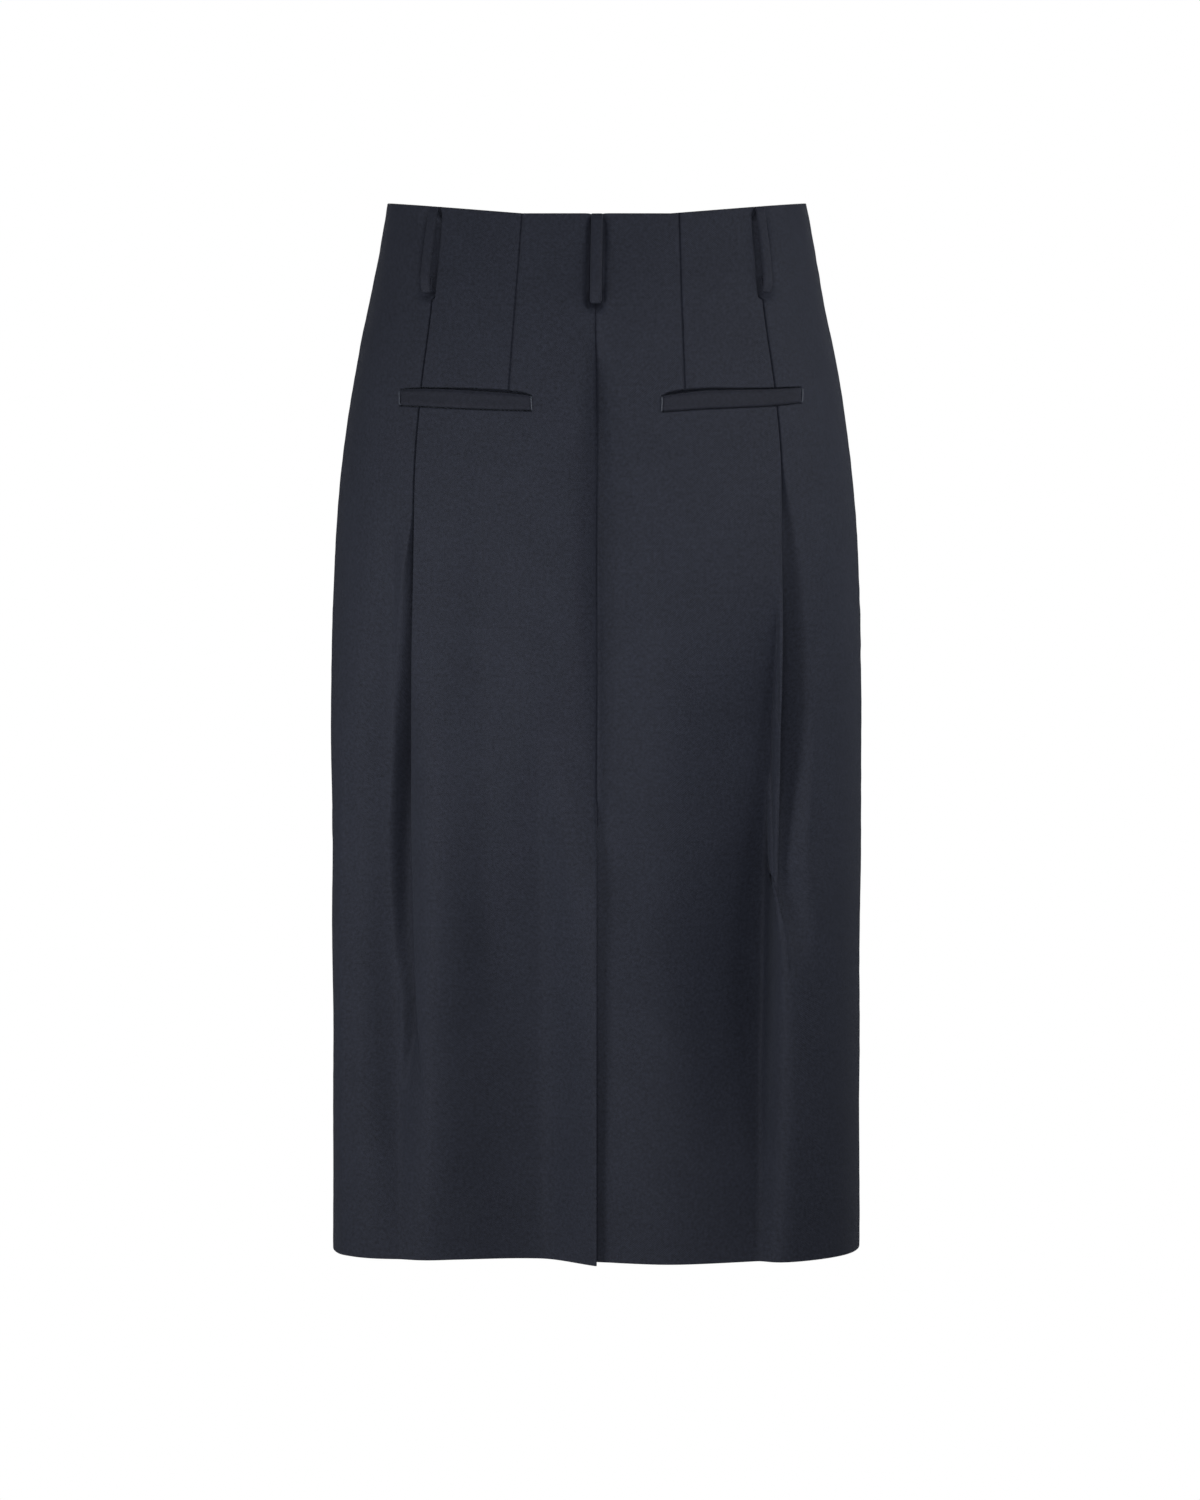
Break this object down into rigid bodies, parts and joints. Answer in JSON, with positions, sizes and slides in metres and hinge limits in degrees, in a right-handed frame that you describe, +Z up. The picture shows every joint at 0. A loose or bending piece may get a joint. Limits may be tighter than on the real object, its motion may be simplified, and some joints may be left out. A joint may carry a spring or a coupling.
{
  "type": "tulip skirt",
  "caption": "High-waisted straight skirt in wool twill, filled out with no wearer, with back pleats, welt pockets, belt loops and a lapped back vent.",
  "frame": {"origin": "middle of the waist opening, level with the waist edge at the side seams, where the wearer's waist holds the skirt", "axes": "+Z up, out of the waist; the back faces -Y and the front +Y; +X is the wearer's right, so the vent's upper side, the left back, is at -X"},
  "size_m": [0.3652, 0.2543, 0.7201],
  "materials": {
    "wool_twill": "dark navy-charcoal fine wool twill, matt with a faint sheen",
    "wool_twill_doubled": "the same wool twill, folded double and pressed"
  },
  "bodies": {
    "root": {"back_left": "wool_twill", "back_right": "wool_twill", "front": "wool_twill", "pocket_welt_left": "wool_twill_doubled", "pocket_welt_right": "wool_twill_doubled", "belt_loop_centre_back": "wool_twill_doubled", "belt_loop_back_left": "wool_twill_doubled", "belt_loop_back_right": "wool_twill_doubled", "belt_loop_front_left": "wool_twill_doubled", "belt_loop_front_right": "wool_twill_doubled"}
  },
  "joints": []
}
